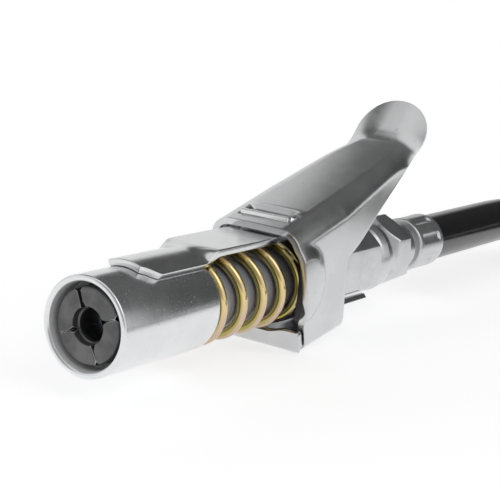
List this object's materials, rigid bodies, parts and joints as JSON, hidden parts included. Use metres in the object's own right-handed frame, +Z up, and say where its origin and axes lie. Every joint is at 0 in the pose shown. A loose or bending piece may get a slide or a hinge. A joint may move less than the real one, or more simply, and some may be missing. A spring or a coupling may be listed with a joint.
{
  "type": "grease coupler",
  "caption": "Quick-release grease coupler: a spring-loaded sleeve closes jaws on a grease nipple, a thumb lever slides it back, and a hex rear body carries a short hose with a threaded end.",
  "frame": {"origin": "on the coupler's axis, in the middle of the jaws' gripping lips, where a grease nipple's head is held", "axes": "+X along the coupler's axis from the mouth to the hose, +Z up to the lever's side, +Y completes the right-handed frame"},
  "size_m": [0.2368, 0.1206, 0.0501],
  "materials": {
    "turned_steel": "satin turned steel",
    "plated_sheet": "satin zinc plate",
    "dark_steel": "phosphated steel",
    "barrel_steel": "turned steel",
    "yellow_zinc": "yellow zinc plate",
    "bright_plate": "bright zinc plate",
    "seal_rubber": "nitrile rubber",
    "hose_rubber": "smooth black hose rubber"
  },
  "bodies": {
    "barrel_body": {"barrel": "barrel_steel", "spring_collar": "barrel_steel", "rear_body": "bright_plate", "inlet_washer": "dark_steel", "hose_fitting": "bright_plate", "ferrule": "bright_plate", "hose": "hose_rubber", "far_ferrule": "bright_plate", "far_fitting": "bright_plate", "lip_seal": "seal_rubber", "jaw_ring": "seal_rubber", "main_spring": "yellow_zinc", "check_spring": "barrel_steel", "spring_stop": "barrel_steel"},
    "sleeve_body": {"outer_sleeve": "turned_steel", "pull_strap": "plated_sheet"},
    "lever_body": {"thumb_lever": "plated_sheet"},
    "jaw_1_body": {"jaw_1": "dark_steel"},
    "jaw_2_body": {"jaw_2": "dark_steel"},
    "jaw_3_body": {"jaw_3": "dark_steel"},
    "jaw_4_body": {"jaw_4": "dark_steel"},
    "ball_body": {"check_ball": "barrel_steel"}
  },
  "joints": [
    {"name": "lever_pivot", "type": "hinge", "parent": "barrel_body", "child": "lever_body", "pos_m": [0.05359, 0, 0.001], "axis": [0, 1, 0], "range_deg": [0, 16], "stiffness_Nm_per_rad": 0.9},
    {"name": "sleeve_slide", "type": "slide", "parent": "barrel_body", "child": "sleeve_body", "axis": [1, 0, 0], "range_m": [0, 0.0033], "deforming": ["main_spring"]},
    {"name": "jaw_1_open", "type": "hinge", "parent": "barrel_body", "child": "jaw_1_body", "pos_m": [0.0105, -0.00187, 0.00464], "axis": [0, 0.9272, 0.3746], "range_deg": [0, 3.5]},
    {"name": "jaw_2_open", "type": "hinge", "parent": "barrel_body", "child": "jaw_2_body", "pos_m": [0.0105, -0.00464, -0.00187], "axis": [0, -0.3746, 0.9272], "range_deg": [0, 3.5]},
    {"name": "jaw_3_open", "type": "hinge", "parent": "barrel_body", "child": "jaw_3_body", "pos_m": [0.0105, 0.00187, -0.00464], "axis": [0, -0.9272, -0.3746], "range_deg": [0, 3.5]},
    {"name": "jaw_4_open", "type": "hinge", "parent": "barrel_body", "child": "jaw_4_body", "pos_m": [0.0105, 0.00464, 0.00187], "axis": [0, 0.3746, -0.9272], "range_deg": [0, 3.5]},
    {"name": "ball_lift", "type": "slide", "parent": "barrel_body", "child": "ball_body", "axis": [1, 0, 0], "range_m": [0, 0.0015], "stiffness_N_per_m": 200, "deforming": ["check_spring"]}
  ],
  "couplings": [
    {"joint": "sleeve_slide", "follows": "lever_pivot", "m_per_rad": 0.01181},
    {"joint": "jaw_1_open", "follows": "lever_pivot", "ratio": 0.2187},
    {"joint": "jaw_2_open", "follows": "lever_pivot", "ratio": 0.2187},
    {"joint": "jaw_3_open", "follows": "lever_pivot", "ratio": 0.2187},
    {"joint": "jaw_4_open", "follows": "lever_pivot", "ratio": 0.2187}
  ]
}
